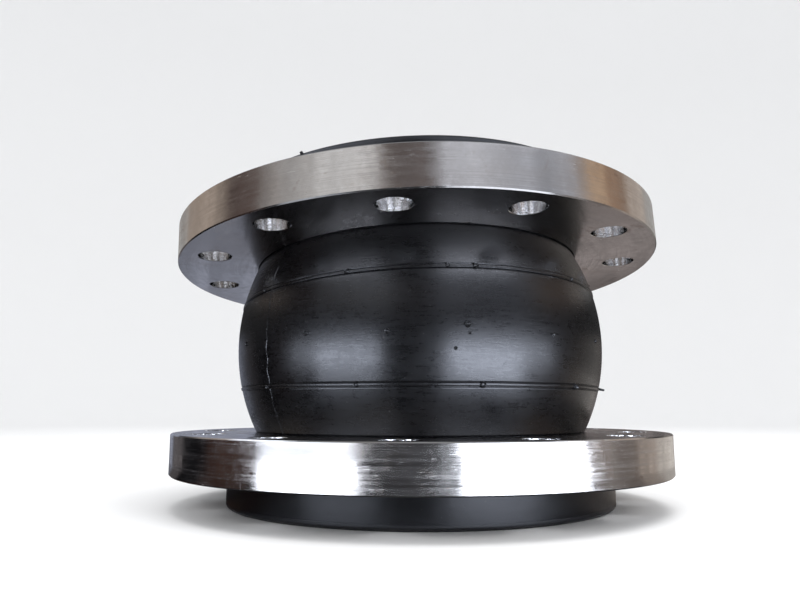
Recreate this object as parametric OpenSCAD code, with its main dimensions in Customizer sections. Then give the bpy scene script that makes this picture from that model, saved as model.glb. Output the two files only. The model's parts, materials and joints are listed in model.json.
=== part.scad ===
// Single-arch rubber expansion joint with two loose swivel flanges, 200 mm bore.
// Z runs up the lower end's axis; the origin is the centre of the lower sealing face.
// Every section below is drawn for the lower end and mirrored for the upper one.

/* [Overall] */
// Length between the two sealing faces, along the straight axis
free_length = 212; // [208:1:216]
// Lean of the upper end towards +Y, in degrees
lean = 4.5; // [0:0.5:6]
// Diameter of the waterway
bore_d = 200; // [196:1:202]

/* [Flanges] */
// Outside diameter of a flange
flange_d = 340; // [332:1:360]
// Thickness of a flange
flange_t = 26; // [22:1:28]
// Diameter of the bolt circle
bolt_circle_d = 295; // [285:1:305]
// Number of bolt holes
bolt_count = 12; // [8, 12, 16]
// Diameter of a bolt hole
bolt_hole_d = 22; // [18:1:24]
// Diameter of the hole that the rubber neck passes through
flange_bore_d = 230; // [230:0.5:234]
// Chamfer on the flange's rim and bore
flange_chamfer = 0.7; // [0.5:0.1:2]
// Chamfer on a bolt hole's two mouths
hole_chamfer = 0.3; // [0.2:0.1:1]

/* [Rubber] */
// Outside diameter of a sealing lip
lip_d = 266; // [262:1:270]
// Thickness of a sealing lip
lip_t = 22; // [20:1:24]
// Rounding of a lip's outer edges
lip_round = 2.5; // [1:0.5:3]
// Outside diameter of the neck, inside the flange
neck_d = 229; // [227:0.5:229.5]
// Thickness of the rubber wall in the arch
wall_t = 12; // [11:0.5:13]
// Distance of each mould seam from the middle of the arch
seam_offset = 29; // [20:1:40]
// Height of a mould seam's raised band
seam_w = 2.4; // [1.5:0.1:4]
// How far a mould seam stands out of the arch
seam_proud = 0.7; // [0.3:0.1:1.2]

/* [Layers] */
// Thickness of the inner tube
tube_t = 3.6; // [3:0.1:4]
// Thickness of one ply of cord fabric
ply_t = 1; // [0.6:0.1:1]
// Bond line between two layers
bond_gap = 0.1; // [0.05:0.05:0.2]

/* [Bead] */
// Diameter of one bead wire
wire_d = 1.8; // [1.2:0.1:1.8]
// Wire turns side by side
wires_across = 4; // [3:1:4]
// Wire turns on top of each other
wires_high = 3; // [2:1:3]
// Radius at the middle of the wire bundle
bead_r = 119.4; // [119:0.1:119.6]
// Rubber outside the plies where they turn round the bead
side_cover_t = 4; // [4:0.1:4.5]
// Rubber between the plies' turn and the lip's back
back_cover_t = 3; // [3:0.1:3.3]
// Rounding of the outermost ply's turn
hook_round = 6; // [5.5:0.1:6]
// Radius at which the plies' turned-back edges end
hook_end_r = 112.2; // [112:0.1:113]
// Height to which the filler's thin tip runs up the neck
filler_tip_z = 36; // [30:1:40]
// Thickness of the filler's tip
filler_tip_t = 0.6; // [0.4:0.1:0.8]
// Bevel along the filler's inner foot, clear of the innermost ply's turn
filler_bevel = 1; // [0.8:0.1:1.5]

/* [Hidden] */
$fn = 144;

bore_r = bore_d / 2;
neck_r = neck_d / 2;
lip_r = lip_d / 2;
flange_r = flange_d / 2;
pivot_z = free_length / 2;
// Clearances that let a flange turn on the lip and round the neck
seat_gap = 0.1;
flange_z = lip_t + seat_gap;
// Height at which the stiff end meets the flexible arch, level with the flange's inner face
split_z = flange_z + flange_t;
split_gap = 0.1;
// The arch is a sphere through the neck's rim, centred between the two ends
arch_r = norm([neck_r, pivot_z - split_z]);
arch_inner_r = arch_r - wall_t;
// Depth of each layer under the waterway's surface
ply_pitch = ply_t + bond_gap;
ply_count = 4;
ply_depth = [for (k = [0 : ply_count - 1]) tube_t + bond_gap + k * ply_pitch];
cover_depth = ply_depth[ply_count - 1] + ply_t + bond_gap;
// The plies turn round the bead inside this outline, and the bead lies halfway up it
hook_r = lip_r - side_cover_t;
hook_z = lip_t - back_cover_t;
wire_gap = 0.1;
wire_pitch = wire_d + wire_gap;
bead_z = (tube_t + hook_z) / 2;
// The filler's outline
filler_gap = 0.2;
filler_r0 = bore_r + cover_depth + filler_gap;
filler_r1 = bead_r - wires_across * wire_pitch / 2 - filler_gap;
filler_z0 = cover_depth + filler_gap;
filler_z1 = hook_z - (cover_depth - tube_t) - filler_gap;
filler_neck_r = hook_end_r - filler_tip_t;
// Lengths that only have to reach past what they cut
over = 2;
far = 400;

// A rectangle with round corners, from true circles and squares
module round_rect(r0, z0, r1, z1, round) {
    translate([r0 + round, z0]) square([r1 - r0 - 2 * round, z1 - z0]);
    translate([r0, z0 + round]) square([r1 - r0, z1 - z0 - 2 * round]);
    for (r = [r0 + round, r1 - round], z = [z0 + round, z1 - round])
        translate([r, z]) circle(r = round);
}

// Everything nearer the waterway than a layer at this depth, below the split
module waterway_side(depth) {
    translate([0, -over]) square([bore_r + depth, split_z + over]);
    intersection() {
        translate([0, pivot_z]) circle(r = arch_inner_r + depth);
        square([far, split_z]);
    }
}

// Where the lip stands, its outer edges rounded
module lip_outline() {
    round_rect(bore_r - 2 * lip_round, 0, lip_r, lip_t, lip_round);
}

// The tube lines the neck and turns out to form the sealing face
module tube_end_section() {
    difference() {
        union() {
            intersection() {
                lip_outline();
                square([far, tube_t]);
            }
            difference() {
                waterway_side(tube_t);
                translate([0, -over]) square([far, over]);
            }
        }
        waterway_side(0);
    }
}

// Outline of one side of a ply where it turns round the bead
module hook_outline(depth) {
    inset = depth - tube_t;
    round_rect(bore_r + depth, depth, hook_r - inset, hook_z - inset, hook_round - inset);
}

// A ply comes down the neck, passes under the bead, and turns back over it
module ply_end_section(depth) {
    difference() {
        union() {
            hook_outline(depth);
            difference() {
                waterway_side(depth + ply_t);
                translate([0, -over]) square([far, depth + hook_round + over]);
            }
        }
        hook_outline(depth + ply_t);
        waterway_side(depth);
        translate([bore_r + depth + ply_t, hook_z / 2])
            square([hook_end_r - bore_r - depth - ply_t, hook_z / 2]);
    }
}

// A wedge between the wire bundle and the neck's plies, thinning up the neck
module filler_section() {
    polygon([
        [filler_r0, filler_z0 + filler_bevel],
        [filler_r0 + filler_bevel, filler_z0],
        [filler_r1, filler_z0],
        [filler_r1, filler_z1],
        [filler_neck_r, filler_z1],
        [filler_neck_r, hook_z],
        [filler_r0 + filler_tip_t, filler_tip_z],
        [filler_r0, filler_tip_z]
    ]);
}

// Room for the filler's thin tip, which the cover closes over
module filler_room() {
    polygon([
        [0, 0],
        [filler_neck_r + bond_gap, 0],
        [filler_neck_r + bond_gap, hook_z + bond_gap],
        [filler_r0 + filler_tip_t + bond_gap, filler_tip_z + bond_gap],
        [0, filler_tip_z + bond_gap]
    ]);
}

// The cover forms the lip's side and back, and the outside of the neck
module lip_cover_section() {
    difference() {
        union() {
            lip_outline();
            square([neck_r, split_z]);
        }
        waterway_side(cover_depth);
        round_rect(bore_r, -hook_round, hook_r + bond_gap, hook_z + bond_gap, hook_round);
        translate([0, -over]) square([far, tube_t + bond_gap + over]);
        filler_room();
    }
}

// A flat ring with chamfered rim, bore and bolt holes, resting on the lip's back
module flange() {
    c = flange_chamfer;
    r0 = flange_bore_d / 2;
    difference() {
        rotate_extrude() polygon([
            [r0, flange_z + c],
            [r0 + c, flange_z],
            [flange_r - c, flange_z],
            [flange_r, flange_z + c],
            [flange_r, split_z - c],
            [flange_r - c, split_z],
            [r0 + c, split_z],
            [r0, split_z - c]
        ]);
        for (i = [0 : bolt_count - 1])
            rotate([0, 0, i * 360 / bolt_count])
                translate([bolt_circle_d / 2, 0, flange_z]) bolt_hole();
    }
}

module bolt_hole() {
    r = bolt_hole_d / 2;
    c = hole_chamfer;
    translate([0, 0, -over]) cylinder(r = r, h = flange_t + 2 * over);
    translate([0, 0, -c]) cylinder(r1 = r + 2 * c, r2 = r, h = 2 * c);
    translate([0, 0, flange_t - c]) cylinder(r1 = r, r2 = r + 2 * c, h = 2 * c);
}

// Closed turns of steel wire in a square bundle
module bead_core() {
    for (i = [0 : wires_across - 1], j = [0 : wires_high - 1])
        rotate_extrude()
            translate([
                bead_r + (i - (wires_across - 1) / 2) * wire_pitch,
                bead_z + (j - (wires_high - 1) / 2) * wire_pitch
            ]) circle(d = wire_d, $fn = 24);
}

// Turns the lower end into the upper one: mirrored about the middle, then leaned
module at_upper_end() {
    translate([0, 0, pivot_z]) rotate([-lean, 0, 0]) mirror([0, 0, 1])
        translate([0, 0, -pivot_z]) children();
}

// Cuts away the space below the flexible arch
module below_arch() {
    translate([-far / 2, -far / 2, split_z + split_gap - far]) cube([far, far, far]);
}

// A spherical shell between the two stiff ends
module arch_layer(inner, outer) {
    difference() {
        translate([0, 0, pivot_z]) sphere(r = outer);
        translate([0, 0, pivot_z]) sphere(r = inner);
        below_arch();
        at_upper_end() below_arch();
    }
}

// A raised band where two parts of the mould met
module seam_band() {
    seam_r = sqrt(pow(arch_r, 2) - pow(seam_offset, 2));
    rotate_extrude() polygon([
        [seam_r - over, pivot_z - seam_offset - seam_w / 2],
        [seam_r + seam_proud / 2, pivot_z - seam_offset - seam_w / 2],
        [seam_r + seam_proud, pivot_z - seam_offset],
        [seam_r + seam_proud, pivot_z - seam_offset + seam_w / 2],
        [seam_r - over, pivot_z - seam_offset + seam_w / 2]
    ]);
}

module arch_ply(k) {
    inner = arch_inner_r + ply_depth[k - 1];
    color("dimgray") arch_layer(inner, inner + ply_t);
}

module lower_ply(k) {
    color("dimgray") rotate_extrude() ply_end_section(ply_depth[k - 1]);
}

module upper_ply(k) {
    at_upper_end() lower_ply(k);
}

module lower_flange() {
    color("silver") flange();
}

module upper_flange() {
    at_upper_end() lower_flange();
}

module lower_lip_cover() {
    color([0.06, 0.06, 0.07]) rotate_extrude() lip_cover_section();
}

module upper_lip_cover() {
    at_upper_end() lower_lip_cover();
}

module arch_cover() {
    color([0.05, 0.05, 0.06]) union() {
        arch_layer(arch_inner_r + cover_depth, arch_r);
        seam_band();
        at_upper_end() seam_band();
    }
}

module lower_tube_end() {
    color([0.09, 0.09, 0.1]) rotate_extrude() tube_end_section();
}

module upper_tube_end() {
    at_upper_end() lower_tube_end();
}

module arch_tube() {
    color([0.09, 0.09, 0.1]) arch_layer(arch_inner_r, arch_inner_r + tube_t);
}

module lower_bead_core() {
    color("goldenrod") bead_core();
}

module upper_bead_core() {
    at_upper_end() lower_bead_core();
}

module lower_bead_filler() {
    color([0.15, 0.14, 0.14]) rotate_extrude() filler_section();
}

module upper_bead_filler() {
    at_upper_end() lower_bead_filler();
}

lower_flange();
upper_flange();
lower_lip_cover();
arch_cover();
upper_lip_cover();
lower_tube_end();
arch_tube();
upper_tube_end();
lower_ply(1);  // lower_ply_1
lower_ply(2);  // lower_ply_2
lower_ply(3);  // lower_ply_3
lower_ply(4);  // lower_ply_4
arch_ply(1);  // arch_ply_1
arch_ply(2);  // arch_ply_2
arch_ply(3);  // arch_ply_3
arch_ply(4);  // arch_ply_4
upper_ply(1);  // upper_ply_1
upper_ply(2);  // upper_ply_2
upper_ply(3);  // upper_ply_3
upper_ply(4);  // upper_ply_4
lower_bead_core();
upper_bead_core();
lower_bead_filler();
upper_bead_filler();
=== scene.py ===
import json
import math
import random

import bpy
from mathutils import Matrix, Vector


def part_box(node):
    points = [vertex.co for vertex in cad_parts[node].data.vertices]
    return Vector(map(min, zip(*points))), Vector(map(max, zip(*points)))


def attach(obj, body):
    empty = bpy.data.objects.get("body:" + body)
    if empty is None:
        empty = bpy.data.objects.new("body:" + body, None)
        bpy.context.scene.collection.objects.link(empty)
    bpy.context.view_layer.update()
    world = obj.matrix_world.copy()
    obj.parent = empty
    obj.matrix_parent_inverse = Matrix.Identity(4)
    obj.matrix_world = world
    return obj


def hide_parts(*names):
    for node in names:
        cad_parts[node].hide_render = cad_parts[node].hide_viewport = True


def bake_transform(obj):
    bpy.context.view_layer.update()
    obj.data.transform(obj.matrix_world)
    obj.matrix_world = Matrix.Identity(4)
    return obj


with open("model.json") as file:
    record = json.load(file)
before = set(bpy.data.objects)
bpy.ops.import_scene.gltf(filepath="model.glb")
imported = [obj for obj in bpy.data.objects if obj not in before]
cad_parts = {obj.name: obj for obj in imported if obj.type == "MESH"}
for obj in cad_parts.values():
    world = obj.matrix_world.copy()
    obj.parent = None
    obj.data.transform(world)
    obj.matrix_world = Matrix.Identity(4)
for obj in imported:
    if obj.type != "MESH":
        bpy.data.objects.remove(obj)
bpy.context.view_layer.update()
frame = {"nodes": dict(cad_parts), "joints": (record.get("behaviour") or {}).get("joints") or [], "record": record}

# ---------------------------------------------------------------- sizes, in metres, from the frame
MM = 0.001
JOINTS = {j["name"]: j for j in frame["joints"]}
MOUNTS = {m["name"]: m for m in frame["record"]["mounts"]}
PIVOT = Vector(JOINTS["angular_bend"]["pos_m"])
UPPER_AXIS = Vector(JOINTS["upper_flange_turn"]["axis"])
LEAN = math.atan2(UPPER_AXIS.y, UPPER_AXIS.z)
BORE_R = MOUNTS["lower_port"]["dims"]["r_mm"] * MM
LIP_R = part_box("lower_lip_cover")[1].x
TUBE_T = 3.6 * MM
PLY_T = 1.0 * MM
# The gap left between neighbouring layers, where they are cured together
BOND = 0.1 * MM
ARCH_R = 128.3 * MM
WALL_T = 12.0 * MM
COVER_T = WALL_T - TUBE_T - 4 * PLY_T - 5 * BOND
# Where the arch meets each stiff end, measured from the pivot along that end's axis
END_OFFSET = PIVOT.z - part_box("arch_cover")[0].z
# Heights at which the arch's three bands meet: shift below, travel between, bend above
SHIFT_TOP = 80 * MM
TRAVEL_TOP = 112 * MM
NECK_R = math.sqrt(ARCH_R**2 - END_OFFSET**2)
BEND_TOP = PIVOT.z + END_OFFSET * math.cos(LEAN) - NECK_R * math.sin(LEAN)
SEAM_OFFSET = 29 * MM
# How far the camera stands round from -Y. Below zero is towards the object's left
VIEW_TURN = math.radians(-25.7)
# Steps round the axis, for what shows and for the plies inside
ROUND = 384
PLY_ROUND = 192
# Spacing of the rings up the arch, for the cover and for the layers inside
FINE_ROWS = 1.1 * MM
COARSE_ROWS = 4 * MM
# Rings on the inner side of each band
INNER_ROWS = 8
# The rise taken for a stretch between planes that lean apart, to choose its count of rings
LEANING_RISE = 36 * MM
Z = Vector((0, 0, 1))


# ---------------------------------------------------------------- mesh helpers
def add_mesh(name, verts, faces, smooth_angle=38):
    """A mesh object with smooth faces and sharp edges above an angle in degrees."""
    mesh = bpy.data.meshes.new(name)
    mesh.from_pydata([tuple(v) for v in verts], [], [tuple(f) for f in faces])
    mesh.polygons.foreach_set("use_smooth", [True] * len(mesh.polygons))
    mesh.set_sharp_from_angle(angle=math.radians(smooth_angle))
    mesh.update()
    piece = bpy.data.objects.new(name, mesh)
    bpy.context.scene.collection.objects.link(piece)
    return piece


def ring_faces(rows, steps):
    """Quads between closed rings of vertices, the last ring joined to the first."""
    faces = []
    for i in range(rows):
        low, high = i * steps, ((i + 1) % rows) * steps
        for k in range(steps):
            n = (k + 1) % steps
            faces.append((low + k, low + n, high + n, high + k))
    return faces


def lean_matrix():
    """Turns something drawn for the lower end into the upper end: mirrored, then leaned."""
    mirror = Matrix.Scale(-1, 4, Z)
    turn = Matrix.Rotation(-LEAN, 4, "X")
    return Matrix.Translation(PIVOT) @ turn @ mirror @ Matrix.Translation(-PIVOT)


def at_end(verts, faces, upper):
    """Vertices and faces at the lower end as drawn, or carried to the upper end."""
    if not upper:
        return verts, faces
    m = lean_matrix()
    return [m @ Vector(v) for v in verts], [tuple(reversed(f)) for f in faces]


def revolve(outline):
    """A closed outline of (radius, height), listed anticlockwise, turned round Z."""
    verts = []
    for r, z in outline:
        for k in range(ROUND):
            a = 2 * math.pi * k / ROUND
            verts.append((r * math.cos(a), r * math.sin(a), z))
    return verts, ring_faces(len(outline), ROUND)


def arc(cx, cz, radius, start, end, count):
    """Points of a round corner, in degrees, anticlockwise from start to end."""
    angles = [math.radians(start + (end - start) * i / count) for i in range(count + 1)]
    return [(cx + radius * math.cos(a), cz + radius * math.sin(a)) for a in angles]


def plane_circle(radius, axis, offset, angle):
    """A point where a sphere round the pivot meets a plane across axis, offset along it."""
    across = Vector((1, 0, 0))
    up = axis.cross(across)
    r = math.sqrt(radius**2 - offset**2)
    return axis * offset + (across * math.cos(angle) + up * math.sin(angle)) * r


def slerp(a, b, t, radius):
    """The point at share t of the arc between two points of a sphere."""
    omega = a.angle(b)
    if omega < 1e-9:
        return a
    p = a * math.sin((1 - t) * omega) + b * math.sin(t * omega)
    return p.normalized() * radius


# name, lower plane, upper plane, bodies, start and end height of the blend
BANDS = [
    ("shift", (Z, -END_OFFSET), (Z, SHIFT_TOP - PIVOT.z),
     ("lower_end", "arch_lower_half"), (PIVOT.z - END_OFFSET, SHIFT_TOP)),
    ("travel", (Z, SHIFT_TOP - PIVOT.z), (Z, TRAVEL_TOP - PIVOT.z),
     ("arch_lower_half", "arch_upper_half"), (SHIFT_TOP, TRAVEL_TOP)),
    ("bend", (Z, TRAVEL_TOP - PIVOT.z), (UPPER_AXIS, END_OFFSET),
     ("arch_upper_half", "upper_end"), (TRAVEL_TOP, BEND_TOP)),
]


# ---------------------------------------------------------------- the arch, in three bands
def circle_rays(radius, plane, steps):
    """Unit directions from the pivot to the circle where a sphere meets a plane."""
    return [plane_circle(radius, *plane, 2 * math.pi * k / steps).normalized() for k in range(steps)]


def rows_between(low, high, radius, count, steps):
    """Rings of directions from one plane's circle up to just before the other's."""
    a, b = circle_rays(radius, low, steps), circle_rays(radius, high, steps)
    return [[slerp(p, q, i / count, 1) for p, q in zip(a, b)] for i in range(count)]


# The seam's profile: offset across it and height above the arch, in mm. It is a bead between two
# fine grooves
SEAM_PROFILE = [
    (-2.3, 0), (-1.75, 0.02), (-1.55, -0.12), (-1.4, -0.34), (-1.2, -0.36), (-1.08, -0.1),
    (-0.98, 0.3), (-0.8, 0.46), (-0.45, 0.54), (0, 0.56), (0.45, 0.54), (0.8, 0.46),
    (0.98, 0.3), (1.08, -0.1), (1.2, -0.36), (1.4, -0.34), (1.55, -0.12), (1.75, 0.02), (2.3, 0),
]
SEAM_EDGE = SEAM_PROFILE[-1][0]
# How far a seam wanders across, in mm, and by what share its height varies
SEAM_WANDER = 0.12
SEAM_UNEVEN = 0.16


def waver(seed, amount):
    """A smooth closed random variation round the part, as a function of angle."""
    harmonics = 14
    rng = random.Random(seed)
    waves = [(n, rng.uniform(0, 2 * math.pi), rng.gauss(0, 1)) for n in range(2, 2 + harmonics)]
    size = amount / math.sqrt(harmonics)
    return lambda a: size * sum(w * math.sin(n * a + f) for n, f, w in waves)


def seam_rows(axis, offset, radius, steps, seed):
    """Rings of points across a seam, as (directions, radii), following its profile."""
    shift, height = waver(seed, SEAM_WANDER), waver(seed + 1, SEAM_UNEVEN)
    rows = []
    for d, h in SEAM_PROFILE:
        rays, radii = [], []
        for k in range(steps):
            a = 2 * math.pi * k / steps
            # The wandering fades out at the profile's two edges, so that it joins the plain arch
            hold = max(0.0, 1 - (abs(d) / SEAM_EDGE) ** 4)
            at = offset + (d + shift(a) * hold) * MM
            rays.append(plane_circle(radius, axis, at, a).normalized())
            radii.append(radius + h * (1 + height(a)) * MM)
        rows.append((rays, radii))
    return rows


def outer_rows(band, radius, spacing, steps, seam, seed):
    """Every ring of a band's outer surface, as (directions, radii)."""
    _, low, high, _, _ = band
    if seam is None:
        parts = [(low, high)]
    else:
        axis, offset = seam
        edge = SEAM_EDGE * MM
        parts = [(low, (axis, offset - edge)), ((axis, offset + edge), high)]
    rows = []
    for i, (a, b) in enumerate(parts):
        if i == 1:
            rows += seam_rows(axis, offset, radius, steps, seed)[:-1]
        lift = (b[1] - a[1]) if a[0] == b[0] else LEANING_RISE
        count = max(2, round(lift / spacing))
        rows += [(r, [radius] * steps) for r in rows_between(a, b, radius, count, steps)]
    rows.append((circle_rays(radius, high, steps), [radius] * steps))
    return rows


def arch_band(name, band, inner, outer, spacing, steps, seam=None, seed=0):
    """One band of one layer, as a closed ring between the band's two planes."""
    _, low, high, bodies, heights = band
    rows = outer_rows(band, outer, spacing, steps, seam, seed)
    inside = [(r, [inner] * steps) for r in rows_between(high, low, inner, INNER_ROWS, steps)]
    inside.append((circle_rays(inner, low, steps), [inner] * steps))
    verts = [PIVOT + ray * r for rays, radii in rows + inside for ray, r in zip(rays, radii)]
    piece = add_mesh(name, verts, ring_faces(len(rows) + len(inside), steps), smooth_angle=50)
    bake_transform(piece)
    return piece


SEAMS = {"shift": (Z, -SEAM_OFFSET), "bend": (UPPER_AXIS, SEAM_OFFSET)}


def arch_cover():
    """The outer rubber, with both mould seams in its surface."""
    pieces = []
    for i, band in enumerate(BANDS):
        piece = arch_band(
            "arch_cover_" + band[0], band, ARCH_R - COVER_T, ARCH_R, FINE_ROWS, ROUND,
            SEAMS.get(band[0]), seed=40 + i,
        )
        pieces.append(piece)
    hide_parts("arch_cover")
    return pieces


def arch_plies():
    """Four plies of cord, out from the tube."""
    pieces = []
    for k in range(4):
        inner = ARCH_R - WALL_T + TUBE_T + BOND + k * (PLY_T + BOND)
        outer = inner + PLY_T
        made = [
            arch_band(f"arch_ply_{k + 1}_{band[0]}", band, inner, outer, COARSE_ROWS, PLY_ROUND)
            for band in BANDS
        ]
        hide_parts(f"arch_ply_{k + 1}")
        pieces += made
    return pieces


def arch_tube():
    """The inner rubber that the water touches."""
    inner = ARCH_R - WALL_T
    pieces = [
        arch_band("arch_tube_" + band[0], band, inner, inner + TUBE_T, COARSE_ROWS, ROUND)
        for band in BANDS
    ]
    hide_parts("arch_tube")
    return pieces


# ---------------------------------------------------------------- sealing faces
# Roundings of the bore's mouth and of the face's outer edge, and the face's fine ring grooves
MOUTH_R = 3 * MM
FACE_EDGE_R = 2.5 * MM
GROOVE_RADII = (109 * MM, 116 * MM, 123 * MM)
GROOVE_HALF = 0.9 * MM
GROOVE_DEPTH = 0.45 * MM


def tube_end_outline():
    """The section of the tube's end: bore, rounded mouth, sealing face, and the neck's lining."""
    top = PIVOT.z - END_OFFSET - BOND
    points = arc(BORE_R + MOUTH_R, MOUTH_R, MOUTH_R, 180, 270, 8)
    for r in GROOVE_RADII:
        points += groove(r, GROOVE_HALF, GROOVE_DEPTH)
    points += arc(LIP_R - FACE_EDGE_R, FACE_EDGE_R, FACE_EDGE_R, 270, 360, 8)
    points += [(LIP_R, TUBE_T), (BORE_R + TUBE_T, TUBE_T)]
    points += neck_line(ARCH_R - WALL_T + TUBE_T, BORE_R + TUBE_T, top)
    points += list(reversed(neck_line(ARCH_R - WALL_T, BORE_R, top)))
    return points


def groove(r, half, depth):
    """A shallow round-bottomed groove in the sealing face."""
    shape = [(-1, 0), (-0.7, 0.5), (-0.25, 0.95), (0.25, 0.95), (0.7, 0.5), (1, 0)]
    return [(r + half * u, depth * v) for u, v in shape]


def neck_line(sphere, straight, top):
    """Where a neck's straight wall runs out into the arch's sphere, up to the end's top."""
    start = PIVOT.z - math.sqrt(sphere**2 - straight**2)
    heights = [start + (top - start) * i / 4 for i in range(5)]
    return [(math.sqrt(sphere**2 - (PIVOT.z - z) ** 2), z) for z in heights]


def tube_ends():
    """The tube's two stiff ends, which turn out over the lips as the sealing faces."""
    pieces = []
    for upper, end in ((False, "lower"), (True, "upper")):
        verts, faces = at_end(*revolve(tube_end_outline()), upper)
        piece = add_mesh(end + "_sealing_face", verts, faces, smooth_angle=35)
        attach(piece, end + "_end")
        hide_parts(end + "_tube_end")
        pieces.append(piece)
    return pieces


# ---------------------------------------------------------------- marks left by the mould
def nub(at, out, radius, height):
    """A vent mark standing on a surface: a low collar round the pit where its sprue tore off."""
    steps = 14
    out = out.normalized()
    side = out.orthogonal().normalized()
    over = out.cross(side)
    # The collar's section, in shares of its radius and height, from its sunken foot into the pit
    foot, pit_floor = -0.35, 0.1
    shape = [(1.1, foot), (1.06, 0.3), (0.97, 0.8), (0.82, 1.0), (0.66, 0.9), (0.5, 0.3)]
    verts = []
    for r, h in shape:
        for k in range(steps):
            a = 2 * math.pi * k / steps
            ring = side * math.cos(a) + over * math.sin(a)
            verts.append(at + ring * (r * radius) + out * (h * height))
    last, middle, bottom = (len(shape) - 1) * steps, len(verts), len(verts) + 1
    verts.append(at + out * (pit_floor * height))
    verts.append(at + out * (foot * height))
    # The closing quads, from the last ring back to the first, give way to the two capped ends
    faces = ring_faces(len(shape), steps)[:last]
    faces += [(last + k, last + (k + 1) % steps, middle) for k in range(steps)]
    faces += [((k + 1) % steps, k, bottom) for k in range(steps)]
    return verts, faces


def on_arch(azimuth, height, axis=Z):
    """A point of the arch, by degrees from -Y towards +X and height along an axis in mm."""
    a = math.radians(azimuth - 90)
    return plane_circle(ARCH_R, axis, height * MM, a)


def merge_shape(verts, faces, more_verts, more_faces):
    """Adds one shape's vertices and faces to the lists of the mesh that it is part of."""
    faces += [tuple(i + len(verts) for i in face) for face in more_faces]
    verts += more_verts


# Vent marks seen in the middle: degrees from -Y, then height above the middle, radius and height
# of the mark in mm
MIDDLE_VENTS = [
    (-85.9, -0.9, 1.4, 1.0), (-56.2, 1.0, 1.6, 1.1), (-33.6, 0.2, 1.6, 1.1),
    (-13.5, 4.2, 1.9, 1.3), (-13.0, -0.8, 0.8, 0.6), (-16.6, -9.2, 1.0, 0.8),
]
# Vent marks seen on the seams: degrees from -Y, then radius and height of the mark in mm
LOWER_SEAM_VENTS = [(-42, 1.3, 1.3), (-9.3, 1.8, 1.7), (23.2, 1.7, 1.5)]
UPPER_SEAM_VENTS = [(-44.5, 1.5, 1.3), (-17.6, 1.3, 1.2), (-10.1, 1.7, 1.6)]
# One vent on the lower seam kept its torn whisker of rubber
WHISKER = (50, 0.75, 3.8)


def vent_spots():
    """Each band's vent marks: those seen on the near side, and more at their spacing behind."""
    rng = random.Random(11)
    middle = list(MIDDLE_VENTS)
    middle += [(a, rng.uniform(-1, 2), 1.3, 0.6) for a in range(12, 250, 24)]
    lower = list(LOWER_SEAM_VENTS)
    lower += [(a + rng.uniform(-3, 3), 1.3, 1.1) for a in range(86, 300, 33)]
    lower.append(WHISKER)
    upper = list(UPPER_SEAM_VENTS)
    upper += [(a + rng.uniform(-3, 3), 1.3, 1.0) for a in range(22, 300, 33)]
    seam = SEAM_OFFSET / MM
    return {
        "travel": [(on_arch(a, h), r, tall) for a, h, r, tall in middle],
        "shift": [(on_arch(a, -seam), r, tall) for a, r, tall in lower],
        "bend": [(on_arch(a, seam, UPPER_AXIS), r, tall) for a, r, tall in upper],
    }


def vent_marks():
    """The arch's vent marks, one piece for each band."""
    spots = vent_spots()
    pieces = []
    for name, _, _, bodies, heights in BANDS:
        verts, faces = [], []
        for p, r, tall in spots[name]:
            merge_shape(verts, faces, *nub(PIVOT + p, p, r * MM, tall * MM))
        piece = add_mesh("arch_vent_marks_" + name, verts, faces, smooth_angle=60)
        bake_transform(piece)
        pieces.append(piece)
    return pieces


# Degrees from -Y at which the mould's halves met
FLASH_SIDES = {"left": -72, "right": 108}
# The ridge's section, in shares of its width and height
FLASH_SECTION = [(-1.6, -0.25), (-0.5, 0.9), (0.5, 1.0), (1.6, -0.25)]


def flash_line(name, azimuth, band, seed):
    """A thin ragged ridge up the arch where the mould's halves met, within one band."""
    _, low, high, bodies, heights = band
    rng = random.Random(seed)
    # The ridge drifts about half a millimetre to either side, by a wave of so many radians a metre
    wander, wave_rate = waver(seed, 0.5), 40
    verts, faces, count = [], [], 60
    a = math.radians(azimuth - 90)
    for i in range(count + 1):
        t = i / count
        p = slerp(plane_circle(ARCH_R, *low, a), plane_circle(ARCH_R, *high, a), t, ARCH_R)
        out = p.normalized()
        along = Z.cross(out).normalized()
        start = heights[0] * wave_rate
        rise = t * (heights[1] - heights[0]) * wave_rate
        centre = PIVOT + p + along * (wander(start + rise) * MM)
        wide = (0.32 + rng.uniform(-0.08, 0.1)) * MM
        tall = (0.26 + rng.uniform(-0.12, 0.12)) * MM
        for u, v in FLASH_SECTION:
            verts.append(centre + along * (u * wide) + out * (v * tall))
    # Four sides between each section and the next, and a cap at both ends
    faces += ring_faces(count + 1, 4)[:count * 4]
    faces += [(3, 2, 1, 0), tuple(count * 4 + k for k in range(4))]
    piece = add_mesh(name, verts, faces, smooth_angle=70)
    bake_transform(piece)
    return piece


def flash_lines():
    """Both flash lines, each in the three bands."""
    pieces = []
    for side, azimuth in FLASH_SIDES.items():
        for i, band in enumerate(BANDS):
            pieces.append(flash_line(f"arch_flash_{side}_{band[0]}", azimuth, band, 70 + i))
    return pieces


# Lip vents: degrees from -Y, height above the sealing face in mm, and lean: 0 stands straight out
# from the lip's side, 1 stands on its edge at 45 degrees
LIP_VENTS = {
    "lower": [(95, 12.0, 0.0), (215, 12.0, 0.0)],
    "upper": [(-56, 0.8, 1.0), (75, 12.0, 0.0), (195, 0.8, 1.0)],
}


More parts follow.
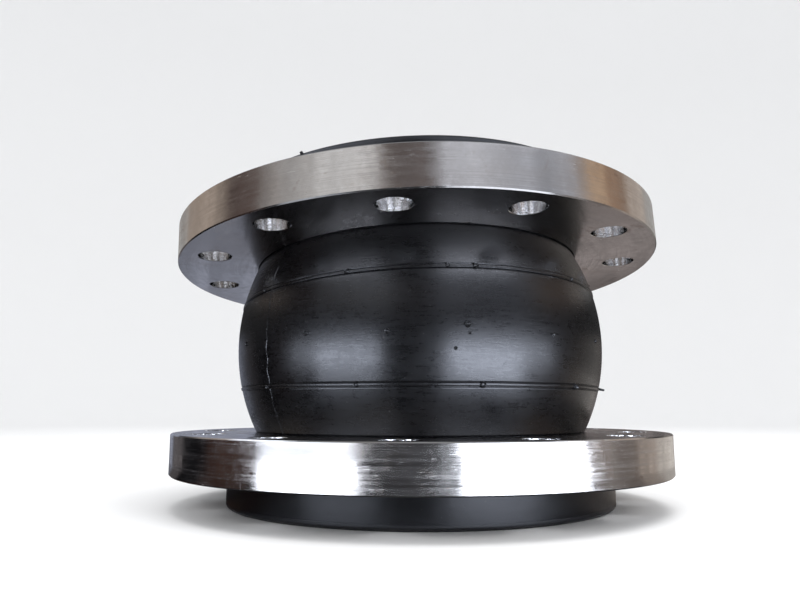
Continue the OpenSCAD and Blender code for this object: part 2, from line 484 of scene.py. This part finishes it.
def lip_vents():
    """Nubs on the lips where the mould's vents opened. Two stand on the upper lip's edge."""
    pieces = []
    for end, vents in LIP_VENTS.items():
        verts, faces = [], []
        for azimuth, height, lean in vents:
            a = math.radians(azimuth)
            out = Vector((math.sin(a), -math.cos(a), 0))
            # One on the edge stands a little further in, as the edge is rounded, and it is taller
            at = out * (LIP_R - 0.6 * lean * MM) + Z * height * MM
            merge_shape(verts, faces, *nub(at, out - Z * lean, 1.0 * MM, (1.0 + 0.5 * lean) * MM))
        piece = add_mesh(end + "_lip_vents", *at_end(verts, faces, end == "upper"), smooth_angle=50)
        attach(piece, end + "_end")
        pieces.append(piece)
    return pieces


# ---------------------------------------------------------------- materials
class Look:
    """A procedural material, put together one node at a time."""

    def __init__(self, name, colour, roughness, metallic=0.0):
        self.material = bpy.data.materials.new(name)
        self.material.use_nodes = True
        self.tree = self.material.node_tree
        self.shader = next(n for n in self.tree.nodes if n.type == "BSDF_PRINCIPLED")
        self.shader.inputs["Base Color"].default_value = (*colour, 1)
        self.shader.inputs["Roughness"].default_value = roughness
        self.shader.inputs["Metallic"].default_value = metallic
        self.place = self.add("ShaderNodeTexCoord").outputs["Object"]
        self.normal = None

    def add(self, kind, inputs=None, **settings):
        """A new node. Inputs are values, or other nodes' sockets to link from."""
        made = self.tree.nodes.new(kind)
        for key, value in settings.items():
            setattr(made, key, value)
        for key, value in (inputs or {}).items():
            if isinstance(value, bpy.types.NodeSocket):
                self.tree.links.new(value, made.inputs[key])
            else:
                made.inputs[key].default_value = value
        return made

    def math(self, operation, a, b=0.0):
        """One step of arithmetic."""
        return self.add("ShaderNodeMath", {0: a, 1: b}, operation=operation).outputs[0]

    def total(self, *values):
        """Values added together."""
        result = values[0]
        for value in values[1:]:
            result = self.math("ADD", result, value)
        return result

    def times(self, a, b):
        """The product of two values."""
        return self.math("MULTIPLY", a, b)

    def distance(self, a, b):
        """The length of the diagonal over two values."""
        return self.math("SQRT", self.total(self.times(a, a), self.times(b, b)))

    def split(self, vector):
        """A vector's three values."""
        return list(self.add("ShaderNodeSeparateXYZ", {0: vector}).outputs)

    def join(self, x, y, z):
        """A vector made of three values."""
        return self.add("ShaderNodeCombineXYZ", {0: x, 1: y, 2: z}).outputs[0]

    def noise(self, vector, scale, detail=2.0, roughness=0.5, distortion=0.0):
        """Soft noise, from 0 to 1, with its scale in cells per metre."""
        inputs = {
            "Vector": vector, "Scale": scale, "Detail": detail,
            "Roughness": roughness, "Distortion": distortion,
        }
        return self.add("ShaderNodeTexNoise", inputs).outputs[0]

    def spread(self, value, low, high, to_low=0.0, to_high=1.0):
        """A value's range from low to high, carried over to another range and clamped."""
        inputs = {0: value, 1: low, 2: high, 3: to_low, 4: to_high}
        return self.add("ShaderNodeMapRange", inputs).outputs[0]

    def mix(self, share, a, b):
        """Colour a, going over to colour b as the share rises from 0 to 1."""
        return self.add("ShaderNodeMix", {0: share, 6: a, 7: b}, data_type="RGBA").outputs[2]

    def bump(self, height, distance):
        """Adds relief, on top of any relief already there. Distance is in metres."""
        inputs = {"Height": height, "Distance": distance, "Strength": 1.0}
        if self.normal is not None:
            inputs["Normal"] = self.normal
        self.normal = self.add("ShaderNodeBump", inputs).outputs[0]
        self.tree.links.new(self.normal, self.shader.inputs["Normal"])

    def feed(self, socket, value):
        """Links a value to one of the shader's sockets."""
        self.tree.links.new(value, self.shader.inputs[socket])

    def own_axis(self, upper):
        """Place measured along the part's own axis, so that turning marks follow it."""
        if not upper:
            return self.place
        moved = self.add("ShaderNodeVectorMath", {0: self.place, 1: PIVOT}, operation="SUBTRACT")
        turned = self.add(
            "ShaderNodeVectorRotate", {"Vector": moved.outputs[0], "Angle": LEAN},
            rotation_type="X_AXIS",
        )
        return turned.outputs[0]


# Colours of the steel: clean and tarnished metal, the darker turning lines, grime, brown stains,
# fresh scratches and the drilled walls of the holes, which are bare metal painted near white: a
# painted highlight for the light they catch
CLEAN = (0.64, 0.625, 0.61, 1)
TARNISHED = (0.47, 0.40, 0.345, 1)
LINES = (0.49, 0.475, 0.465, 1)
GRIME = (0.40, 0.37, 0.345, 1)
STAINED = (0.30, 0.22, 0.165, 1)
SCRATCHED = (0.78, 0.77, 0.76, 1)
DRILLED_HIGHLIT = (0.93, 0.93, 0.935, 1)


def turned_steel(name, upper):
    """Stainless steel turned on a lathe: fine lines round the axis, a thin film, handling marks."""
    look = Look(name, (0.62, 0.605, 0.59), 0.2, metallic=1.0)
    x, y, z = look.split(look.own_axis(upper))
    radius = look.distance(x, y)
    cosine, sine = look.math("DIVIDE", x, radius), look.math("DIVIDE", y, radius)
    across = look.total(radius, z)

    def rings(around, pitch, detail):
        """Noise that runs round the axis, changing slowly with angle."""
        vector = look.join(
            look.times(cosine, around), look.times(sine, around), look.times(across, 1 / pitch)
        )
        return look.noise(vector, 1.0, detail)

    fine, chatter = rings(1.5, 0.5 * MM, 2), rings(4, 2.6 * MM, 3)
    scratches = look.spread(rings(26, 0.9 * MM, 1), 0.68, 0.78)
    smudge = look.noise(look.place, 26, 5, 0.62, 0.6)
    film = look.noise(look.place, 7.5, 4, 0.6, 0.4)
    drilled_highlit = in_bolt_hole(look, x, y, radius)
    torn = look.noise(look.join(x, y, look.times(z, 1.6)), 520, 3, 0.6)
    mottle = look.noise(look.place, 150, 5, 0.7, 0.4)
    stains = look.spread(look.noise(look.place, 44, 5, 0.68, 0.8), 0.60, 0.70)
    tone = look.mix(look.spread(film, 0.5, 0.72, 0, 0.75), CLEAN, TARNISHED)
    tone = look.mix(look.spread(fine, 0.3, 0.7, 0, 0.5), tone, LINES)
    tone = look.mix(look.spread(mottle, 0.4, 0.7, 0, 0.28), tone, GRIME)
    tone = look.mix(look.times(stains, 0.6), tone, STAINED)
    tone = look.mix(look.times(scratches, 0.3), tone, SCRATCHED)
    # The holes' walls take a near-white colour: bare drilled metal, and a painted highlight for the light they
    # catch
    look.feed("Base Color", look.mix(drilled_highlit, tone, DRILLED_HIGHLIT))
    rough = look.total(
        look.spread(smudge, 0.35, 0.75, 0.08, 0.18), look.spread(fine, 0.3, 0.7, -0.03, 0.06),
        look.spread(chatter, 0.35, 0.7, -0.02, 0.04), look.spread(mottle, 0.35, 0.7, -0.02, 0.05),
        look.times(stains, 0.08), look.times(scratches, 0.08),
    )
    look.feed("Roughness", look.times(rough, look.spread(drilled_highlit, 0, 1, 1.0, 0.5)))
    look.bump(fine, 0.006 * MM)
    look.bump(chatter, 0.008 * MM)
    look.bump(scratches, -0.004 * MM)
    look.bump(look.times(torn, drilled_highlit), 0.10 * MM)
    look.feed("Anisotropic", look.spread(drilled_highlit, 0, 1, 0.7, 0.0))
    return look.material


def in_bolt_hole(look, x, y, radius):
    """1 on the walls of the bolt holes and 0 elsewhere, from the distance to the nearest hole."""
    dims = MOUNTS["lower_bolts"]["dims"]
    # Reaches a little past the wall, so that no part of it is missed
    reach = (dims["hole_r_mm"] + 0.12) * MM
    step = 2 * math.pi / dims["count"]
    share = look.times(look.math("ARCTAN2", y, x), dims["count"] / (2 * math.pi))
    off = look.times(look.math("SUBTRACT", share, look.math("ROUND", share)), step)
    hole_at = dims["pcd_mm"] / 2 * MM
    along = look.math("SUBTRACT", look.times(radius, look.math("COSINE", off)), hole_at)
    aside = look.times(radius, look.math("SINE", off))
    return look.math("LESS_THAN", look.distance(along, aside), reach)


def moulded_rubber(name, base, worn, roughness, streaky=1.0):
    """Black rubber from a mould: faint wrapping streaks, fine grain, dust and rubbed places."""
    look = Look(name, base, roughness)
    look.shader.inputs["IOR"].default_value = 1.6
    look.shader.inputs["Specular Tint"].default_value = (0.935, 0.95, 1.0, 1)
    x, y, z = look.split(look.place)
    streaks = look.noise(look.join(x, y, look.times(z, 7.0)), 70, 6, 0.65, 0.2)
    threads = look.noise(look.join(x, y, look.times(z, 14.0)), 170, 4, 0.65)
    cloud = look.noise(look.place, 24, 5, 0.6, 0.5)
    grain = look.noise(look.place, 1500, 2, 0.6)
    mottle = look.noise(look.place, 340, 3, 0.65)
    specks = look.spread(look.noise(look.place, 560, 1, 0.5), 0.75, 0.80)
    pits = look.spread(look.noise(look.place, 240, 1, 0.4), 0.76, 0.82)
    rubbed = look.spread(look.times(cloud, streaks), 0.18, 0.42, 0, 0.5)
    dust = (0.07, 0.068, 0.065, 1)
    tone = look.mix(rubbed, (*base, 1), (*worn, 1))
    look.feed("Base Color", look.mix(look.times(specks, 0.5), tone, dust))
    rough = look.total(
        look.spread(cloud, 0.3, 0.7, roughness - 0.04, roughness + 0.05),
        look.spread(streaks, 0.25, 0.75, -0.05 * streaky, 0.05 * streaky),
        look.spread(mottle, 0.25, 0.75, -0.03, 0.03),
        look.spread(threads, 0.3, 0.7, -0.03 * streaky, 0.03 * streaky),
        look.times(specks, 0.2),
    )
    look.feed("Roughness", rough)
    look.bump(cloud, 0.17 * MM)
    look.bump(streaks, 0.03 * streaky * MM)
    look.bump(mottle, 0.014 * MM)
    look.bump(threads, 0.03 * streaky * MM)
    look.bump(grain, 0.016 * MM)
    look.bump(pits, -0.06 * MM)
    return look.material


def cord_fabric():
    """Rubbered cord: two sets of cords crossing at 45 degrees, brown-grey under black."""
    look = Look("cord_fabric", (0.07, 0.06, 0.052), 0.8)
    x, y, z = look.split(look.place)
    # The way round, taken at 120 mm from the axis, against height gives the 45 degrees
    turn = look.times(look.math("ARCTAN2", y, x), 0.12)
    cord_pitch = 1.4 * MM
    gum, cord, dark_gum = (0.016, 0.016, 0.017, 1), (0.10, 0.083, 0.07, 1), (0.02, 0.02, 0.021, 1)
    cords = []
    for sign in ("ADD", "SUBTRACT"):
        phase = look.times(look.math(sign, turn, z), 2 * math.pi / cord_pitch)
        cords.append(look.math("SINE", phase))
    weave = look.math("MAXIMUM", *cords)
    fuzz = look.noise(look.place, 900, 3, 0.6)
    patch = look.noise(look.place, 40, 3, 0.6)
    tone = look.mix(look.spread(weave, -0.2, 1), gum, cord)
    look.feed("Base Color", look.mix(look.spread(patch, 0.45, 0.7, 0, 0.5), tone, dark_gum))
    look.feed("Roughness", look.spread(fuzz, 0.3, 0.7, 0.7, 0.92))
    look.bump(weave, 0.12 * MM)
    look.bump(fuzz, 0.05 * MM)
    return look.material


def bead_wire():
    """Brass-coated steel wire, drawn smooth, dulled where rubber clung to it."""
    look = Look("bead_wire", (0.58, 0.43, 0.21), 0.36, metallic=1.0)
    dull = look.noise(look.place, 130, 4, 0.6)
    drawn = look.noise(look.place, 1800, 2, 0.5)
    bright, dulled = (0.6, 0.45, 0.23, 1), (0.33, 0.25, 0.16, 1)
    look.feed("Base Color", look.mix(look.spread(dull, 0.45, 0.7), bright, dulled))
    look.feed("Roughness", look.spread(dull, 0.35, 0.7, 0.3, 0.55))
    look.bump(drawn, 0.01 * MM)
    return look.material


def dress(pieces, material):
    """Gives pieces one material."""
    for piece in pieces:
        piece.data.materials.clear()
        piece.data.materials.append(material)


# ---------------------------------------------------------------- floor, light and camera
def plain(name, colour, roughness):
    """A matt paint in one colour, for the stage."""
    material = bpy.data.materials.new(name)
    material.use_nodes = True
    shader = next(n for n in material.node_tree.nodes if n.type == "BSDF_PRINCIPLED")
    shader.inputs["Base Color"].default_value = (*colour, 1)
    shader.inputs["Roughness"].default_value = roughness
    shader.inputs["Specular IOR Level"].default_value = 0.1
    return material


def floor():
    """A pale floor that sweeps up into a wall all round, open above."""
    flat, bend, top, steps = 2.6, 1.2, 2.8, 96
    flat_rings, bend_rings = 6, 12
    line = [(flat * i / flat_rings, 0.0) for i in range(1, flat_rings + 1)]
    line += [(flat + bend * math.sin(a), bend * (1 - math.cos(a)))
             for a in [math.pi / 2 * i / bend_rings for i in range(1, bend_rings + 1)]]
    line.append((flat + bend, top))
    verts = [(0, 0, 0)]
    for r, z in line:
        for k in range(steps):
            a = 2 * math.pi * k / steps
            verts.append((r * math.cos(a), r * math.sin(a), z))
    faces = [(0, 1 + k, 1 + (k + 1) % steps) for k in range(steps)]
    for i in range(len(line) - 1):
        low, high = 1 + i * steps, 1 + (i + 1) * steps
        for k in range(steps):
            n = (k + 1) % steps
            faces.append((low + k, high + k, high + n, low + n))
    made = add_mesh("floor", verts, faces, smooth_angle=60)
    made.data.materials.append(plain("floor_paint", (0.9, 0.9, 0.9), 0.9))


def shine(made, colour, strength):
    """Makes a stage mesh glow in reflections and nowhere else."""
    material = bpy.data.materials.new(made.name + "_glow")
    material.use_nodes = True
    tree = material.node_tree
    tree.nodes.clear()
    glow, out = tree.nodes.new("ShaderNodeEmission"), tree.nodes.new("ShaderNodeOutputMaterial")
    glow.inputs["Color"].default_value = (*colour, 1)
    glow.inputs["Strength"].default_value = strength
    tree.links.new(glow.outputs[0], out.inputs["Surface"])
    made.data.materials.append(material)
    for ray in ("camera", "diffuse", "transmission", "volume_scatter", "shadow"):
        setattr(made, "visible_" + ray, False)


def glow_strip(name, turn, edges, colour, strength):
    """A card round the axis between two edges of (radius, height), over a range of turns."""
    steps = max(2, round(abs(turn[1] - turn[0]) / 3))
    verts = []
    for radius, z in edges:
        for i in range(steps + 1):
            a = math.radians(turn[0] + (turn[1] - turn[0]) * i / steps) + VIEW_TURN
            verts.append((radius * math.sin(a), -radius * math.cos(a), z))
    faces = [(i, i + 1, i + steps + 2, i + steps + 1) for i in range(steps)]
    shine(add_mesh(name, verts, faces), colour, strength)


def card(name, radius, turn, height, colour, strength):
    """An upright curved card."""
    glow_strip(name, turn, [(radius, z) for z in height], colour, strength)


def sector(name, radii, turn, height, colour, strength):
    """A card lying level."""
    glow_strip(name, turn, [(radius, height) for radius in radii], colour, strength)


def cluttered(name, turn, height, colour):
    """A stretch of wall in upright strips of uneven brightness, as the things in a room are."""
    rng = random.Random(name)
    edges = [turn[0]]
    while edges[-1] + 4 < turn[1]:
        edges.append(edges[-1] + rng.uniform(1.2, 4))
    edges.append(turn[1])
    for i, (a, b) in enumerate(zip(edges, edges[1:])):
        card(f"{name}_{i}", WALL_R, (a, b), height, colour, rng.uniform(0.72, 1.28))


# The studio round the object, which only reflections see. Turns are in degrees from the camera's
# side, radii and heights in metres
WALL_R = 0.43
COOL_WHITE = (0.83, 0.885, 1.0)
BOX_R = 0.34
LEFT_BOX = (-50.5, -18.2)
RIGHT_BOX = (12.8, 51.8)
# Softboxes: turn, heights, brightness
SOFTBOXES = [
    (LEFT_BOX, (0.002, 0.024), 6.5), (LEFT_BOX, (0.024, 0.044), 1.7), (LEFT_BOX, (0.044, 0.10), 8.0),
    (RIGHT_BOX, (0.002, 0.10), 9.0), ((-66, -50.5), (0.05, 0.115), 2.6),
    ((51.8, 68), (0.05, 0.115), 4.0), ((6.0, 12.8), (0.002, 0.10), 0.33),
    (LEFT_BOX, (0.10, 0.14), 1.3), (RIGHT_BOX, (0.10, 0.14), 1.9),
]
# What the softboxes light up on the floor: radii, turn, brightness
FLOOR_GLOW = [
    ((0.255, 0.34), (-50, -20), 0.65), ((0.22, 0.255), (14, 54), 1.0), ((0.255, 0.34), (12, 54), 1.9),
]
# The room's walls: start and end of a stretch, colour. The low one's colours also go on the floor
LOW_WALL = [
    (-180, -120, (0.29, 0.31, 0.385)), (-120, -104, (0.12, 0.11, 0.115)),
    (-104, -82.5, (0.006, 0.006, 0.007)), (-82.5, -57, (0.052, 0.028, 0.022)),
    (-57, -17, (0.03, 0.03, 0.033)), (-17, 5.5, (0.052, 0.053, 0.058)),
    (5.5, 58, (0.05, 0.05, 0.055)), (58, 72, (0.34, 0.31, 0.30)),
    (72, 84, (0.24, 0.21, 0.195)), (84, 100, (0.46, 0.40, 0.36)),
    (100, 128, (0.66, 0.62, 0.58)), (128, 180, (0.35, 0.31, 0.305)),
]
HIGH_WALL = [
    (-180, -145, (1.5, 1.52, 1.6)), (-145, -110, (0.40, 0.39, 0.38)),
    (-110, -77, (0.44, 0.37, 0.32)),
    (-77, -59, (0.12, 0.09, 0.083)), (-59, -50, (0.36, 0.34, 0.335)),
    (-50, -36, (0.60, 0.59, 0.59)), (-36, -13, (0.74, 0.74, 0.75)),
    (-13, 8, (0.16, 0.135, 0.13)), (8, 36, (0.70, 0.72, 0.79)),
    (36, 63, (0.48, 0.50, 0.56)), (63, 68, (0.36, 0.32, 0.30)),
    (68, 79, (0.62, 0.46, 0.33)), (79, 93, (0.38, 0.26, 0.19)),
    (93, 112, (0.50, 0.44, 0.395)), (112, 145, (0.42, 0.41, 0.40)),
    (145, 180, (1.5, 1.52, 1.6)),
]
# High in front, two bright stretches that shine on the walls of the bolt holes: turn, brightness
FRONT_TOP = [((-100, -18), 2.4), ((-18, 11), 0.12), ((11, 85), 2.4)]
# Where one wall ends and the next begins, from the floor to the roof
LOW_Z, MID_Z, DARK_Z, HIGH_Z, TOP_Z, ROOF_Z = 0.001, 0.06, 0.15, 0.235, 0.372, 0.62
# Cards that lie on the floor, and the innermost radius of those that darken it in reflections
GLOW_LIFT = 1.5 * MM
DIM_LIFT = 1.0 * MM
DIM_FLOOR_R = 0.1335
DIM_FLOOR_SHARE = 0.7
# From this turn on, the middle wall is a darker version of the low one
SHADED_FROM = 58
SHADE = 0.4


def walls():
    """The room's walls from the floor up, with dim cards on the floor in the low wall's colours."""
    for i, (a, b, colour) in enumerate(LOW_WALL):
        cluttered(f"low_wall_{i}", (a, b), (LOW_Z, MID_Z), colour)
        shaded = [c * (SHADE if a >= SHADED_FROM else 1.0) for c in colour]
        cluttered(f"mid_wall_{i}", (a, b), (MID_Z, DARK_Z), shaded)
        sector(f"dim_floor_{i}", (DIM_FLOOR_R, WALL_R), (a, b), DIM_LIFT, colour, DIM_FLOOR_SHARE)
    card("dark_wall", WALL_R, (-180, 180), (DARK_Z, HIGH_Z), (0.05, 0.05, 0.052), 1.0)
    for i, (a, b, colour) in enumerate(HIGH_WALL):
        cluttered(f"high_wall_{i}", (a, b), (HIGH_Z, TOP_Z), colour)
    for i, (turn, strength) in enumerate(FRONT_TOP):
        card(f"front_top_{i}", WALL_R, turn, (TOP_Z, ROOF_Z), COOL_WHITE, strength)
    card("rear_top", WALL_R, (85, 260), (TOP_Z, ROOF_Z), (0.62, 0.63, 0.66), 1.0)
    sector("roof", (0.001, WALL_R), (-180, 180), ROOF_Z, (0.32, 0.33, 0.35), 1.0)


def studio():
    """Everything round the object that the steel and the rubber mirror."""
    for i, (turn, height, strength) in enumerate(SOFTBOXES):
        card(f"softbox_{i}", BOX_R, turn, height, COOL_WHITE, strength)
    for i, (radii, turn, strength) in enumerate(FLOOR_GLOW):
        sector(f"floor_glow_{i}", radii, turn, GLOW_LIFT, COOL_WHITE, strength)
    walls()


def area_light(name, place, size, power):
    """A round soft light aimed at the object, and itself unseen."""
    data = bpy.data.lights.new(name, "AREA")
    data.shape = "DISK"
    data.size = size
    data.energy = power
    made = bpy.data.objects.new(name, data)
    bpy.context.scene.collection.objects.link(made)
    made.location = place
    made.rotation_mode = "QUATERNION"
    made.rotation_quaternion = (Vector((0, 0, 0.1)) - Vector(place)).to_track_quat("-Z", "Y")
    made.visible_camera = False
    made.visible_glossy = False


def lights():
    """An even pale sky and three soft lights."""
    world = bpy.data.worlds.new("sky")
    world.use_nodes = True
    sky = world.node_tree.nodes["Background"]
    sky.inputs[0].default_value = (0.97, 0.98, 1.0, 1)
    sky.inputs[1].default_value = 0.95
    bpy.context.scene.world = world
    area_light("overhead", (0.1, -0.2, 1.9), 1.6, 22)
    area_light("front_left", (-1.2, -1.0, 0.9), 0.7, 6)
    area_light("front_right", (0.5, -1.3, 0.8), 0.7, 6)


def camera():
    """The camera stands close, low, and turned to the object's left."""
    data = bpy.data.cameras.new("camera")
    data.sensor_width = 36
    data.lens = 31.70
    data.clip_start = 0.02
    made = bpy.data.objects.new("camera", data)
    bpy.context.scene.collection.objects.link(made)
    # Metres from the axis and above the floor, then radians turned to the left and tipped up
    distance, height, yaw, pitch = 0.51358, 0.06345, 0.02699, 0.15411
    turn = Matrix.Rotation(VIEW_TURN, 4, "Z")
    # A camera looks down its own -Z, so tipping it up by 90 degrees makes it look along +Y
    aim = Matrix.Rotation(yaw, 4, "Z") @ Matrix.Rotation(pitch + math.pi / 2, 4, "X")
    made.matrix_world = turn @ Matrix.Translation((0, -distance, height)) @ aim
    bpy.context.scene.camera = made


# ---------------------------------------------------------------- the whole object
# Rubbers: name, base colour, rubbed colour, roughness, and how strong the wrapping streaks are
cover_rubber = moulded_rubber(
    "cover_rubber", (0.0022, 0.0022, 0.0029), (0.0052, 0.0052, 0.0064), 0.29,
)
lip_rubber = moulded_rubber(
    "lip_rubber", (0.0026, 0.0026, 0.0035), (0.0055, 0.0055, 0.007), 0.34, 0.4,
)
tube_rubber = moulded_rubber(
    "tube_rubber", (0.005, 0.005, 0.006), (0.011, 0.011, 0.012), 0.44, 0.5,
)
bead_rubber = moulded_rubber(
    "bead_rubber", (0.02, 0.019, 0.019), (0.035, 0.033, 0.032), 0.6, 0.3,
)
fabric = cord_fabric()
wire = bead_wire()

dress(arch_cover() + vent_marks() + flash_lines(), cover_rubber)
dress(lip_vents(), lip_rubber)
dress(arch_tube() + tube_ends(), tube_rubber)
dress(arch_plies(), fabric)
nodes = frame["nodes"]
for end in ("lower", "upper"):
    steel = turned_steel(end + "_flange_steel", end == "upper")
    dress([nodes[end + "_flange"]], steel)
    dress([nodes[end + "_lip_cover"]], lip_rubber)
    dress([nodes[f"{end}_ply_{k}"] for k in range(1, 5)], fabric)
    dress([nodes[end + "_bead_core"]], wire)
    dress([nodes[end + "_bead_filler"]], bead_rubber)

floor()
studio()
lights()
camera()
bpy.context.scene.view_settings.view_transform = "Standard"
